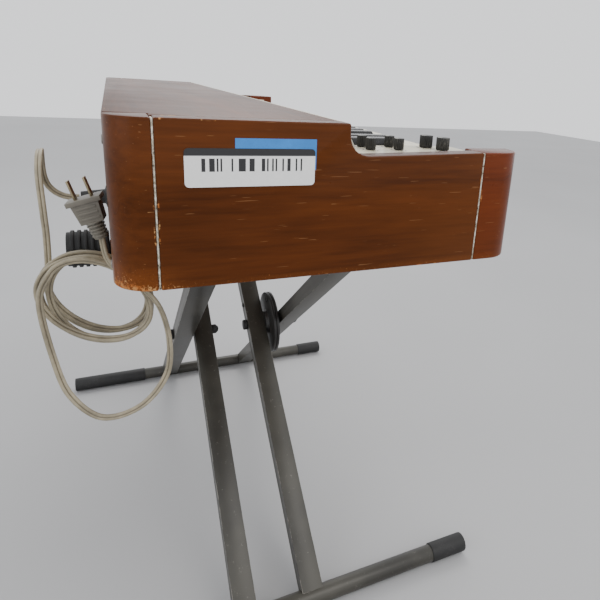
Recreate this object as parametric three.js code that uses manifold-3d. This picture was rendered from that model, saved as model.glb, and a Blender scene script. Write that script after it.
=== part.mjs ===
// A portable drawbar organ in a wooden cabinet, resting on a folding double-X steel stand.
// Units are millimetres, +Z is up and the floor is z = 0. The player sits on the -Y side, the bass end is at -X.
import * as THREE from "three";
import { mergeVertices } from "three/addons/utils/BufferGeometryUtils.js";
import Module from "manifold-3d";

const wasm = await Module();
wasm.setup();

// ---- Driving dimensions: cabinet (its own frame: x from the bass end, y from the front, z from its underside)
const LENGTH = 980, DEPTH = 364, HIGH = 127;
const LOW_FRONT = 104, LOW_STEP = 101; // the cheek's low top slopes gently
const STEP_Y = 185, STEP_FILLET = 20;
const BOARD = 20; // end boards
const POST_FRONT = 51, POST_REAR = 32, POST_WIDE = 35, POST_ROUND = 29;
const SEAM = 1.7; // the groove that holds each metal inlay
const GAP = 0.3;
const SLIP = 20, SLIP_TOP = 85;
const REAR_T = 18, BOTTOM_T = 10, TOP_T = 12;
const KNOB_PANEL_END = 107.5, TREBLE_BLOCK = 936.5, PANEL_TOP = 96, SHEET = 3;
const FASCIA = { y0: 165, z0: 91, y1: 183, z1: 126.5, thick: 2.5 };

// ---- Driving dimensions: keyboard
const KEY = { pitch: 23, gap: 1, front: 22, visible: 160, top: 90.5, under: 72.5, shank: 80, rear: 200, strip: 186 };
const SHARP = { width: 13, clear: 1, front: 70, top: 102, under: 76, shankLow: 82, shankHigh: 88 };
const KEYS_X = 108, OCTAVES = 5;
const WHITES = 7;
// Where each sharp's centre lies in its octave, in white-key pitches.
const SHARP_AT = [0.93, 2.07, 3.9, 5, 6.1];

// ---- Driving dimensions: stand
const ORGAN_Z = 560; // height of the cabinet's underside
const TUBE_R = 12.5, SLEEVE_R = 14, FOOT_HALF = 290, SLEEVE = 145;
const ARM_FRONT = -225, ARM_REAR = 184.5, ARM_SLEEVES = [90, 78], CAP = 35.5, CAP_R = 17.5, CAP_RAISED = 7, END_PLUG = 7;
const SPAN = 347; // half the distance between the feet
const LEG = { wide: 30, thick: 22 };
const OUTER_REAR_Y = 90, OUTER_FRONT_Y = -88, INNER_REAR_Y = 57, INNER_FRONT_Y = -36;
const ARM_Z = ORGAN_Z - SLEEVE_R - GAP;
const PIVOT_Z = (SLEEVE_R + ARM_Z) / 2;
const BOLT_R = 5, HOLE_R = 5.1, DISC_R = 55, DISC_T = 4.5, HUB_R = 20;
const RIM = 24; // sides on the round parts of the stand

// ---- Colours
const finish = {
  walnut: { color: 0x4a1f0c, roughness: 0.35, metalness: 0 },
  steel: { color: 0x3b3a38, roughness: 0.42, metalness: 0.3 },
  rubber: { color: 0x17171a, roughness: 0.8, metalness: 0 },
  knob: { color: 0x141414, roughness: 0.5, metalness: 0 },
  panel: { color: 0x24211f, roughness: 0.4, metalness: 0.2 },
  ivory: { color: 0xe9e2cb, roughness: 0.3, metalness: 0 },
  ebony: { color: 0x121212, roughness: 0.3, metalness: 0 },
  lead: { color: 0xa89f88, roughness: 0.6, metalness: 0 },
  plug: { color: 0x7e7a70, roughness: 0.6, metalness: 0 },
  board: { color: 0x7a5a2a, roughness: 0.7, metalness: 0 },
  iron: { color: 0x55504c, roughness: 0.5, metalness: 0.6 },
  zinc: { color: 0x9a9a98, roughness: 0.35, metalness: 0.8 },
};
const material = {};
for (const [name, look] of Object.entries(finish)) {
  material[name] = new THREE.MeshStandardMaterial(look);
  material[name].name = name;
}

// ---- Making and joining solids
function solid(geometry) {
  const bare = geometry.clone();
  bare.deleteAttribute("normal");
  bare.deleteAttribute("uv");
  const merged = mergeVertices(bare, 1e-3);
  return new wasm.Manifold(new wasm.Mesh({
    numProp: 3,
    vertProperties: new Float32Array(merged.attributes.position.array),
    triVerts: new Uint32Array(merged.index.array),
  }));
}

function geometryOf(manifold) {
  const mesh = manifold.getMesh();
  const geometry = new THREE.BufferGeometry();
  geometry.setAttribute("position", new THREE.BufferAttribute(new Float32Array(mesh.vertProperties), 3));
  geometry.setIndex(new THREE.BufferAttribute(new Uint32Array(mesh.triVerts), 1));
  return geometry;
}

function box(x0, x1, y0, y1, z0, z1) {
  const geometry = new THREE.BoxGeometry(x1 - x0, y1 - y0, z1 - z0);
  geometry.translate((x0 + x1) / 2, (y0 + y1) / 2, (z0 + z1) / 2);
  return geometry;
}

// A prism: an outline in X and Y, from height z0 to z1.
function upright(shape, z0, z1, curveSegments = 8) {
  const geometry = new THREE.ExtrudeGeometry(shape, { depth: z1 - z0, bevelEnabled: false, curveSegments });
  geometry.translate(0, 0, z0);
  return geometry;
}

// A prism: an outline in Y and Z, from x0 to x1.
function sideways(shape, x0, x1, curveSegments = 8) {
  const geometry = new THREE.ExtrudeGeometry(shape, { depth: x1 - x0, bevelEnabled: false, curveSegments });
  geometry.applyMatrix4(new THREE.Matrix4().makeBasis(
    new THREE.Vector3(0, 1, 0), new THREE.Vector3(0, 0, 1), new THREE.Vector3(1, 0, 0)));
  geometry.translate(x0, 0, 0);
  return geometry;
}

function polygon(points) {
  return new THREE.Shape(points.map(([a, b]) => new THREE.Vector2(a, b)));
}

// A turned solid along +Z from [radius, height] points.
function turned(points, sides = RIM) {
  return new THREE.LatheGeometry(points.map(([r, h]) => new THREE.Vector2(r, h)), sides).rotateX(Math.PI / 2);
}

// A turned solid along +Y.
function turnedAlongY(points, sides = RIM) {
  return new THREE.LatheGeometry(points.map(([r, h]) => new THREE.Vector2(r, h)), sides);
}

function union(...geometries) {
  return geometryOf(geometries.map(solid).reduce((all, next) => all.add(next)));
}

function cut(geometry, ...tools) {
  return geometryOf(tools.map(solid).reduce((left, tool) => left.subtract(tool), solid(geometry)));
}

function named(name, geometry, look) {
  const mesh = new THREE.Mesh(geometry, material[look]);
  mesh.name = name;
  return mesh;
}

const model = new THREE.Group();
const organ = new THREE.Group();
organ.position.set(-LENGTH / 2, -DEPTH / 2, ORGAN_Z);
const stand = new THREE.Group();
model.add(organ, stand);

// ---- Cabinet
function endBoardOutline() {
  const y0 = POST_FRONT, y1 = DEPTH - POST_REAR;
  const slopeZ = LOW_STEP - 0.4;
  const shape = new THREE.Shape();
  shape.moveTo(y0, 0);
  shape.lineTo(y1, 0);
  shape.lineTo(y1, HIGH);
  shape.lineTo(STEP_Y + 2, HIGH);
  shape.quadraticCurveTo(STEP_Y, HIGH, STEP_Y, HIGH - 2);
  shape.lineTo(STEP_Y, slopeZ + STEP_FILLET);
  shape.quadraticCurveTo(STEP_Y, slopeZ, STEP_Y - STEP_FILLET, slopeZ);
  shape.lineTo(y0, LOW_FRONT);
  return shape;
}

// A corner post seen from above, with its outer corner rounded.
function postOutline(y0, y1, rounded) {
  const r = POST_ROUND;
  const shape = new THREE.Shape();
  if (rounded === "front") {
    shape.moveTo(POST_WIDE, y0);
    shape.lineTo(POST_WIDE, y1);
    shape.lineTo(0, y1);
    shape.absarc(r, y0 + r, r, Math.PI, 1.5 * Math.PI, false);
  } else {
    shape.moveTo(POST_WIDE, y1);
    shape.absarc(r, y1 - r, r, 0.5 * Math.PI, Math.PI, false);
    shape.lineTo(0, y0);
    shape.lineTo(POST_WIDE, y0);
  }
  return shape;
}

function mirroredAtTreble(geometry) {
  return geometryOf(solid(geometry).mirror([1, 0, 0]).translate([LENGTH, 0, 0]));
}

function cabinet() {
  const endBoard = sideways(endBoardOutline(), 0, BOARD);
  const frontPost = upright(postOutline(0, POST_FRONT - SEAM, "front"), 0, LOW_FRONT);
  const rearPost = upright(postOutline(DEPTH - POST_REAR + SEAM, DEPTH, "rear"), 0, HIGH);
  organ.add(named("end_board_bass", endBoard, "walnut"));
  organ.add(named("end_board_treble", mirroredAtTreble(endBoard), "walnut"));
  organ.add(named("front_post_bass", frontPost, "walnut"));
  organ.add(named("front_post_treble", mirroredAtTreble(frontPost), "walnut"));
  organ.add(named("rear_post_bass", rearPost, "walnut"));
  organ.add(named("rear_post_treble", mirroredAtTreble(rearPost), "walnut"));
  const x0 = BOARD + GAP, x1 = LENGTH - BOARD - GAP, px0 = POST_WIDE + GAP, px1 = LENGTH - POST_WIDE - GAP;
  const front = POST_FRONT - SEAM + GAP, rear = DEPTH - POST_REAR + SEAM - GAP;
  const inside = DEPTH - REAR_T - GAP;
  const lid = polygon([[x0, STEP_Y + 2], [x1, STEP_Y + 2], [x1, rear], [px1, rear], [px1, DEPTH], [px0, DEPTH],
    [px0, rear], [x0, rear]]);
  organ.add(named("top_board", upright(lid, HIGH - TOP_T, HIGH), "walnut"));
  const base = polygon([[px0, SLIP + GAP], [px1, SLIP + GAP], [px1, front], [x1, front], [x1, rear], [px1, rear],
    [px1, inside], [px0, inside], [px0, rear], [x0, rear], [x0, front], [px0, front]]);
  organ.add(named("bottom_board", upright(base, 0, BOTTOM_T), "walnut"));
  organ.add(named("key_slip", box(px0, px1, 0, SLIP, 0, SLIP_TOP), "walnut"));
  const rearBoard = box(px0, px1, DEPTH - REAR_T, DEPTH, 0, HIGH - TOP_T - GAP);
  const leadHole = new THREE.CylinderGeometry(6.5, 6.5, 60, 20);
  leadHole.translate(LEAD_EXIT[0], DEPTH - 9, LEAD_EXIT[2]);
  organ.add(named("rear_board", cut(rearBoard, leadHole), "walnut"));
}

// ---- Control panel at the bass end, with six knobs
const KNOBS = [
  { name: "knob_rear_outer", x: 74.5, y: 132, size: "small" }, { name: "knob_rear_inner", x: 96, y: 132, size: "small" },
  { name: "knob_middle_outer", x: 74.5, y: 101, size: "small" },
  { name: "knob_middle_inner", x: 96, y: 101, size: "small" },
  { name: "knob_front_outer", x: 75, y: 49, size: "large" }, { name: "knob_front_inner", x: 94, y: 58, size: "large" },
];
const KNOB_SIZE = { small: { r: 5.5, high: 11 }, large: { r: 7.5, high: 12.5 } };
const KNOB_LIFT = 0.6, SHAFT_R = 3, SHAFT_HOLE_R = 3.08;

// A fluted knob with its shaft, standing on the panel at the origin.
function knobGeometry({ r, high }) {
  const flutes = 12, shape = new THREE.Shape();
  for (let i = 0; i < flutes * 2; i++) {
    const a = (i / (flutes * 2)) * 2 * Math.PI;
    const radius = i % 2 ? r * 0.9 : r;
    if (i === 0) shape.moveTo(radius, 0);
    else shape.lineTo(radius * Math.cos(a), radius * Math.sin(a));
  }
  const body = upright(shape, KNOB_LIFT, KNOB_LIFT + high);
  const shaft = turned([[0, -12], [SHAFT_R, -12], [SHAFT_R, KNOB_LIFT + 1], [0, KNOB_LIFT + 1]]);
  return union(body, shaft);
}

function controls() {
  const x0 = BOARD + GAP, x1 = KNOB_PANEL_END, y0 = SLIP + GAP, y1 = FASCIA.y0 - 1;
  const corner = POST_FRONT - SEAM + GAP, px0 = POST_WIDE + GAP;
  const plate = polygon([[px0, y0], [x1, y0], [x1, y1], [x0, y1], [x0, corner], [px0, corner]]);
  const holes = KNOBS.map(({ x, y }) => new THREE.CylinderGeometry(SHAFT_HOLE_R, SHAFT_HOLE_R, 20, RIM)
    .rotateX(Math.PI / 2).translate(x, y, PANEL_TOP));
  const panel = union(upright(plate, PANEL_TOP - SHEET, PANEL_TOP), box(x1 - 3, x1, y0, y1, PANEL_TOP - 34, PANEL_TOP - 1));
  organ.add(named("knob_panel", cut(panel, ...holes), "panel"));
  for (const { name, x, y, size } of KNOBS) {
    const knob = named(name, knobGeometry(KNOB_SIZE[size]), "knob");
    knob.position.set(x, y, PANEL_TOP);
    organ.add(knob);
  }
  const block = polygon([[TREBLE_BLOCK, y0], [LENGTH - px0, y0], [LENGTH - px0, corner], [LENGTH - x0, corner],
    [LENGTH - x0, y1], [TREBLE_BLOCK, y1]]);
  organ.add(named("treble_block", upright(block, PANEL_TOP - 34, PANEL_TOP), "panel"));
}

// ---- Drawbars and the sloping fascia that they pass through
const DRAWBARS = 9, DRAWBAR_X = 250, DRAWBAR_PITCH = 21;
const BAR = { wide: 7, low: 105, high: 110, rear: 262 };
const BAR_HEAD = { wide: 16, front: 152, rear: 170, low: 104.5, high: 117 };
const DARK_BARS = [0, 1, 4, 6, 7];

function drawbarX(i) {
  return DRAWBAR_X + i * DRAWBAR_PITCH;
}

function drawbars() {
  const { y0, z0, y1, z1, thick } = FASCIA;
  const face = polygon([[y0, z0], [y0 + thick, z0], [y1 + thick, z1], [y1, z1]]);
  const plate = sideways(face, BOARD + GAP, LENGTH - BOARD - GAP);
  const slots = [];
  for (let i = 0; i < DRAWBARS; i++) {
    const x = drawbarX(i);
    slots.push(box(x - BAR.wide / 2 - 1, x + BAR.wide / 2 + 1, y0 - 10, y1 + 20, BAR.low - 1, BAR.high + 1));
    const head = box(x - BAR_HEAD.wide / 2, x + BAR_HEAD.wide / 2, BAR_HEAD.front, BAR_HEAD.rear,
      BAR_HEAD.low, BAR_HEAD.high);
    const rod = box(x - BAR.wide / 2, x + BAR.wide / 2, BAR_HEAD.rear - 1, BAR.rear, BAR.low, BAR.high);
    const look = DARK_BARS.includes(i) ? "ebony" : "ivory";
    organ.add(named(`drawbar_${i + 1}`, union(head, rod), look));
  }
  organ.add(named("drawbar_fascia", cut(plate, ...slots), "panel"));
}

// ---- Keys, as one comb of naturals and one of sharps in each octave
function sharpSpan(octave, i, extra = 0) {
  const centre = KEYS_X + (octave * WHITES + SHARP_AT[i]) * KEY.pitch;
  return [centre - SHARP.width / 2 - extra, centre + SHARP.width / 2 + extra];
}

function naturalPlan(octave, i, rear) {
  const left = KEYS_X + (octave * WHITES + i) * KEY.pitch + KEY.gap / 2;
  const right = left + KEY.pitch - KEY.gap;
  let a = left, b = right;
  const lastC = i === WHITES;
  for (let s = 0; s < SHARP_AT.length && !lastC; s++) {
    const [s0, s1] = sharpSpan(octave, s, SHARP.clear);
    if (s0 < left && s1 > left) a = s1;
    if (s0 < right && s1 > right) b = s0;
  }
  const notch = SHARP.front - SHARP.clear;
  return polygon([[left, KEY.front], [right, KEY.front], [right, notch], [b, notch], [b, rear], [a, rear],
    [a, notch], [left, notch]].filter(([x, y], n, all) => n === 0 || x !== all[n - 1][0] || y !== all[n - 1][1]));
}

function keyboard() {
  for (let octave = 0; octave < OCTAVES; octave++) {
    const count = octave === OCTAVES - 1 ? WHITES + 1 : WHITES;
    const naturals = [];
    for (let i = 0; i < count; i++) {
      naturals.push(upright(naturalPlan(octave, i, KEY.visible), KEY.under, KEY.top));
      naturals.push(upright(naturalPlan(octave, i, KEY.strip + 1), KEY.under, KEY.shank));
    }
    const x0 = KEYS_X + octave * WHITES * KEY.pitch + KEY.gap / 2;
    naturals.push(box(x0, x0 + count * KEY.pitch - KEY.gap, KEY.strip, KEY.rear, KEY.under, KEY.shank));
    organ.add(named(`naturals_octave_${octave + 1}`, union(...naturals), "ivory"));
    const sharps = SHARP_AT.map((_, i) => {
      const [a, b] = sharpSpan(octave, i);
      const key = sideways(polygon([[SHARP.front, SHARP.under], [KEY.visible, SHARP.under], [KEY.visible, SHARP.top],
        [SHARP.front + 6, SHARP.top], [SHARP.front, SHARP.top - 9]]), a, b);
      return union(key, box(a, b, KEY.visible - 1, KEY.rear, SHARP.shankLow, SHARP.shankHigh));
    });
    const first = sharpSpan(octave, 0)[0], last = sharpSpan(octave, SHARP_AT.length - 1)[1];
    sharps.push(box(first, last, KEY.strip, KEY.rear, SHARP.shankLow, SHARP.shankHigh));
    organ.add(named(`sharps_octave_${octave + 1}`, union(...sharps), "ebony"));
  }
}

// ---- Inside the cabinet
function insides() {
  const x0 = KEYS_X + 1, x1 = TREBLE_BLOCK - 1.5, low = BOTTOM_T + GAP;
  const frame = polygon([[30, low], [212, low], [212, 92], [206, 92], [206, low + 4], [196, low + 4], [196, 69],
    [192, 69], [192, low + 4], [60, low + 4], [60, 58], [36, 58], [36, 54], [56, 54], [56, low + 4], [30, low + 4]]);
  organ.add(named("key_frame", sideways(frame, x0, x1), "zinc"));
  const boardZ = 26, parts = [box(250, 700, 222, 336, boardZ, boardZ + 2)];
  [[256, 228], [694, 228], [256, 330], [694, 330]].forEach(([x, y]) =>
    parts.push(turned([[0, low], [4, low], [4, boardZ + 1], [0, boardZ + 1]], 12).translate(x, y, 0)));
  for (let i = 0; i < 8; i++) parts.push(box(285 + i * 50, 303 + i * 50, 260, 300, boardZ + 1, boardZ + 7));
  organ.add(named("tone_circuit_board", union(...parts), "board"));
  const core = box(800, 870, 250, 308, low + 6, low + 62), coil = box(812, 858, 238, 320, low + 14, low + 50);
  const foot = box(790, 880, 262, 296, low, low + 7);
  organ.add(named("mains_transformer", union(core, coil, foot), "iron"));
}

// ---- Mains lead: its strain relief, the hanging coil and the plug. Points are in the cabinet's frame.
const LEAD_EXIT = [196, DEPTH, 30];
const LEAD_R = 3;
const COIL = { x0: 76, x1: 124.5, y: 373, z: -81, halfY: 47, halfZ: 80, lean: -0.2, band: 18 };
const PLUG = { x: 83, y: 371.5, z: 20.4, lean: -0.3, turn: 1.4 };

function swept(points, radius, sides, steps) {
  const shape = new THREE.Shape();
  for (let i = 0; i < sides; i++) {
    const a = (i / sides) * 2 * Math.PI;
    if (i === 0) shape.moveTo(radius, 0);
    else shape.lineTo(radius * Math.cos(a), radius * Math.sin(a));
  }
  const path = new THREE.CatmullRomCurve3(points.map((p) => new THREE.Vector3(...p)));
  return new THREE.ExtrudeGeometry(shape, { steps, extrudePath: path, bevelEnabled: false });
}

// An ellipse in the YZ plane, as points.
function loopPoints(halfY, halfZ, sides = 28) {
  const points = [];
  for (let i = 0; i < sides; i++) {
    const a = (i / sides) * 2 * Math.PI;
    const u = halfY * Math.cos(a), v = halfZ * Math.sin(a);
    points.push(new THREE.Vector2(COIL.y + u * Math.cos(COIL.lean) - v * Math.sin(COIL.lean),
      COIL.z + u * Math.sin(COIL.lean) + v * Math.cos(COIL.lean)));
  }
  return points;
}

function lead() {
  const [x, y, z] = LEAD_EXIT;
  const relief = turnedAlongY([[0, -14], [6, -14], [6, 0.3], [11, 0.3], [11, 3.3], [7.4, 4.3], [5.6, 26], [0, 26]], 20);
  organ.add(named("strain_relief", relief.translate(x, y, z), "rubber"));
  const { x0, x1, halfY, halfZ, band } = COIL;
  const ring = new THREE.Shape(loopPoints(halfY, halfZ));
  ring.holes.push(new THREE.Path(loopPoints(halfY - band, halfZ - band).reverse()));
  organ.add(named("lead_coil", sideways(ring, x0, x1), "lead"));
  // Straight out of the relief, up behind the cabinet in one arch, and down towards the loops.
  const route = [
    [196, 391.2, 30], [196, 397, 30], [195.8, 404, 31.5], [195.3, 411, 35.5], [194.3, 416.5, 42],
    [192.5, 419, 50], [189, 419.5, 59], [183.5, 419, 68], [175.5, 418, 75.5], [166, 417, 80.5],
    [156, 416.5, 82], [146, 416.5, 80], [137, 416.5, 74.5], [129.8, 416.5, 66], [125, 416, 55],
    [122.8, 415.5, 42], [122.2, 415.2, 27], [122, 415, 12],
  ];
  organ.add(named("lead_run", swept(route, LEAD_R, 8, 40), "lead"));
  // The plug: a ribbed tail, a tapered body with a finger flange, and two flat blades.
  const tail = turned([[0, 0], [5, 0], [6.5, 16], [0, 16]], 16);
  const body = upright(polygon([[-9, -6.5], [9, -6.5], [9, 6.5], [-9, 6.5]]), 15, 33);
  const flange = box(-13.5, 13.5, -8, 8, 32, 36);
  const blade = (u) => box(u - 0.8, u + 0.8, -3.2, 3.2, 35, 52);
  const plug = union(tail, body, flange, blade(-6.35), blade(6.35)).rotateZ(PLUG.turn).rotateX(PLUG.lean);
  organ.add(named("mains_plug", plug.translate(PLUG.x, PLUG.y, PLUG.z), "plug"));
}

cabinet();
controls();
drawbars();
keyboard();
insides();
lead();

// ---- Stand
// The outer frame leans from the far foot up to the near arm, and the inner frame crosses it the other way.
function tube(front, rear, frontSleeve, rearSleeve) {
  const points = [[0, front]];
  if (frontSleeve) points.push([SLEEVE_R, front], [SLEEVE_R, front + frontSleeve], [TUBE_R, front + frontSleeve]);
  else points.push([TUBE_R, front]);
  if (rearSleeve) points.push([TUBE_R, rear - rearSleeve], [SLEEVE_R, rear - rearSleeve], [SLEEVE_R, rear]);
  else points.push([TUBE_R, rear]);
  points.push([0, rear]);
  return turnedAlongY(points);
}

// A leg in the XZ plane, coped at both ends round the tubes it joins.
function leg(x0, z0, x1, z1, y) {
  const length = Math.hypot(x1 - x0, z1 - z0), angle = Math.atan2(z1 - z0, x1 - x0);
  const bar = box(0, length, -LEG.wide / 2, LEG.wide / 2, -LEG.thick / 2, LEG.thick / 2);
  bar.rotateY(-angle).translate(x0, y, z0);
  const cylinder = (x, z, r) => new THREE.CylinderGeometry(r, r, LEG.wide * 2, RIM).translate(x, y, z);
  return cut(bar, cylinder(x0, z0, TUBE_R + GAP), cylinder(x1, z1, TUBE_R + GAP), cylinder(0, PIVOT_Z, HOLE_R));
}

// A clutch disc round the pivot: its hub stands at the height hub and its rim lies at face, with a hole for the bolt.
function disc(hub, face) {
  const back = face + Math.sign(hub - face) * DISC_T;
  const points = [[0, hub], [HUB_R, hub], [HUB_R + 2, back], [DISC_R, back], [DISC_R, face], [0, face]];
  const rim = turnedAlongY(hub < face ? points : points.reverse(), 36);
  return cut(rim, new THREE.CylinderGeometry(HOLE_R, HOLE_R, 60, RIM).translate(0, (hub + face) / 2, 0));
}

// A pivot bolt along Y with a head at one end and a domed nut at the other.
function bolt(front, rear, dome) {
  const points = [[0, front - dome], [4, front - dome + 1], [8, front - dome + 5], [8, front], [BOLT_R, front],
    [BOLT_R, rear], [9, rear], [9, rear + 7], [0, rear + 7]];
  return turnedAlongY(points);
}

function standParts() {
  const place = (name, geometry, look, x, z) => {
    const mesh = named(name, geometry, look);
    mesh.position.set(x, 0, z);
    stand.add(mesh);
  };
  place("far_foot", tube(-FOOT_HALF, FOOT_HALF, 60, SLEEVE), "steel", SPAN, SLEEVE_R);
  place("near_foot", tube(-FOOT_HALF, FOOT_HALF, 60, SLEEVE), "steel", -SPAN, SLEEVE_R);
  place("near_arm", tube(ARM_FRONT, ARM_REAR, ...ARM_SLEEVES), "steel", -SPAN, ARM_Z);
  place("far_arm", tube(ARM_FRONT, ARM_REAR, ...ARM_SLEEVES), "steel", SPAN, ARM_Z);
  // The near cap stands a little higher than its tube, as a lip behind the cabinet. The far one is a flush end plug.
  const cap = turnedAlongY([[0, ARM_REAR + GAP], [CAP_R, ARM_REAR + GAP], [CAP_R, ARM_REAR + CAP - 3],
    [CAP_R - 3, ARM_REAR + CAP], [0, ARM_REAR + CAP]]).translate(0, 0, CAP_RAISED);
  const endPlug = turnedAlongY([[0, ARM_REAR + GAP], [SLEEVE_R, ARM_REAR + GAP], [SLEEVE_R, ARM_REAR + END_PLUG - 2],
    [SLEEVE_R - 2, ARM_REAR + END_PLUG], [0, ARM_REAR + END_PLUG]]);
  place("near_arm_cap", cap, "rubber", -SPAN, ARM_Z);
  place("far_arm_cap", endPlug, "rubber", SPAN, ARM_Z);
  stand.add(named("outer_leg_rear", leg(SPAN, SLEEVE_R, -SPAN, ARM_Z, OUTER_REAR_Y), "steel"));
  stand.add(named("outer_leg_front", leg(SPAN, SLEEVE_R, -SPAN, ARM_Z, OUTER_FRONT_Y), "steel"));
  stand.add(named("inner_leg_rear", leg(-SPAN, SLEEVE_R, SPAN, ARM_Z, INNER_REAR_Y), "steel"));
  stand.add(named("inner_leg_front", leg(-SPAN, SLEEVE_R, SPAN, ARM_Z, INNER_FRONT_Y), "steel"));
  const low = OUTER_FRONT_Y + LEG.wide / 2 + GAP, high = INNER_FRONT_Y - LEG.wide / 2 - GAP, middle = (low + high) / 2;
  place("clutch_disc_outer", disc(low, middle - 0.4), "steel", 0, PIVOT_Z);
  place("clutch_disc_inner", disc(high, middle + 0.4), "steel", 0, PIVOT_Z);
  const half = LEG.wide / 2 + GAP;
  place("pivot_bolt_rear", bolt(INNER_REAR_Y - half, OUTER_REAR_Y + half, 12), "zinc", 0, PIVOT_Z);
  place("pivot_bolt_front", bolt(OUTER_FRONT_Y - half, INNER_FRONT_Y + half, 12), "zinc", 0, PIVOT_Z);
}
standParts();

export default model;
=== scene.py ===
"""A portable drawbar organ in a walnut cabinet, standing on a folding double-X stand.

Lengths are metres in the model's own frame: +Z up, -Y towards the player, -X the bass end.
"""

import math
import random

import bpy
from mathutils import Matrix, Vector


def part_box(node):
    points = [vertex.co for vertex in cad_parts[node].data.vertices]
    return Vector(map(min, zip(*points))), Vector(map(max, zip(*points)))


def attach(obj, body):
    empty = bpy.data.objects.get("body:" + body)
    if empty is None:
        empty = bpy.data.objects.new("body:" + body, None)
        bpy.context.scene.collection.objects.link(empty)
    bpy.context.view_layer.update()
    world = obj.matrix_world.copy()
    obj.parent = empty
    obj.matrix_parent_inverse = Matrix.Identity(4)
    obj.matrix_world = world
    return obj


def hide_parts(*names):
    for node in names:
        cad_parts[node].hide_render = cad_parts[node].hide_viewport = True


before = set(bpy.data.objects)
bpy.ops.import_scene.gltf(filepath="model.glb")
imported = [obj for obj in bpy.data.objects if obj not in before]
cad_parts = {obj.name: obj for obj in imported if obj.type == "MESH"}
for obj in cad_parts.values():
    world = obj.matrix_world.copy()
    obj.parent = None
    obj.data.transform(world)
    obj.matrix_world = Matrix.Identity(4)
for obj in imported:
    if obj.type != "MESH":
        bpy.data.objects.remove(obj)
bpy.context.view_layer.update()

bl_info = {
    "name": "Portable Drawbar Organ",
    "version": (1, 0, 0),
    "blender": (4, 5, 0),
    "location": "View3D > Sidebar > Organ",
    "description": "Builds a portable drawbar organ on its folding stand, piece by piece",
    "category": "Object",
}

MM = 0.001
PANEL_TOP = 96  # height of the control panel's face, in millimetres from the cabinet's underside
DARK_DRAWBARS = "12578"
# The stand's tubes, in metres: radii, then how far the sleeves reach along the feet and the arms.
TUBE_RADIUS, SLEEVE_RADIUS, TUBE_INSIDE_SLEEVE = 12.5 * MM, 14 * MM, 20 * MM
FOOT_SLEEVES, ARM_SLEEVES = (60 * MM, 145 * MM), (90 * MM, 78 * MM)
DISC_THICKNESS = 4.5 * MM
# Where the rivets sit round the pivot, in millimetres: above and below it on the disc, and up along the leg.
DISC_RIVET, LEG_RIVET = 44, (31.8, 24.3)
# The cabinet's own corner: the front, bottom corner at the bass end.
CORNER = Vector((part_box("end_board_bass")[0][0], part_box("front_post_bass")[0][1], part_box("end_board_bass")[0][2]))


def in_cabinet(x, y, z):
    """A point given in millimetres from the cabinet's corner."""
    return CORNER + Vector((x, y, z)) * MM


# ---- Settings that a user would change


class CabinetSettings(bpy.types.PropertyGroup):
    """Sizes and colours of the wooden cabinet."""

    edge: bpy.props.FloatProperty(
        name="Edge rounding", description="Radius of the boards' rounded edges", default=1.3 * MM,
        min=0.2 * MM, max=3 * MM, unit="LENGTH")
    dark_wood: bpy.props.FloatVectorProperty(
        name="Dark wood", description="Colour of the dark lines in the wood", subtype="COLOR",
        default=(0.020, 0.0045, 0.0009), min=0, max=1)
    warm_wood: bpy.props.FloatVectorProperty(
        name="Warm wood", description="Colour of the wood between its dark lines", subtype="COLOR",
        default=(0.118, 0.031, 0.0050), min=0, max=1)
    bare_wood: bpy.props.FloatVectorProperty(
        name="Bare wood", description="Colour where the varnish has worn away", subtype="COLOR",
        default=(0.52, 0.28, 0.11), min=0, max=1)


class KeyboardSettings(bpy.types.PropertyGroup):
    """Sizes and colours of the keys and the controls."""

    key_edge: bpy.props.FloatProperty(
        name="Key edge", description="Radius of the keys' rounded edges", default=0.7 * MM,
        min=0.1 * MM, max=2 * MM, unit="LENGTH")
    ivory: bpy.props.FloatVectorProperty(
        name="Natural keys", description="Colour of the natural keys", subtype="COLOR",
        default=(0.78, 0.72, 0.55), min=0, max=1)
    panel: bpy.props.FloatVectorProperty(
        name="Panel", description="Colour of the control panel and the drawbars' fascia", subtype="COLOR",
        default=(0.60, 0.56, 0.44), min=0, max=1)


class StandSettings(bpy.types.PropertyGroup):
    """Sizes and colours of the folding stand."""

    leg_edge: bpy.props.FloatProperty(
        name="Leg edge", description="Radius of the square tubes' corners", default=2.4 * MM,
        min=0.5 * MM, max=6 * MM, unit="LENGTH")
    paint: bpy.props.FloatVectorProperty(
        name="Paint", description="Colour of the stand's paint", subtype="COLOR",
        default=(0.046, 0.043, 0.035), min=0, max=1)


class LeadSettings(bpy.types.PropertyGroup):
    """Sizes and colours of the mains lead."""

    width: bpy.props.FloatProperty(
        name="Lead width", description="Width of the flat twin lead", default=6 * MM,
        min=3 * MM, max=9 * MM, unit="LENGTH")
    sheath: bpy.props.FloatVectorProperty(
        name="Sheath", description="Colour of the lead", subtype="COLOR",
        default=(0.31, 0.268, 0.185), min=0, max=1)


SETTINGS = {"organ_cabinet": CabinetSettings, "organ_keyboard": KeyboardSettings,
            "organ_stand": StandSettings, "organ_lead": LeadSettings}


def settings(name):
    return getattr(bpy.context.scene, name)


# ---- Materials


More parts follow.
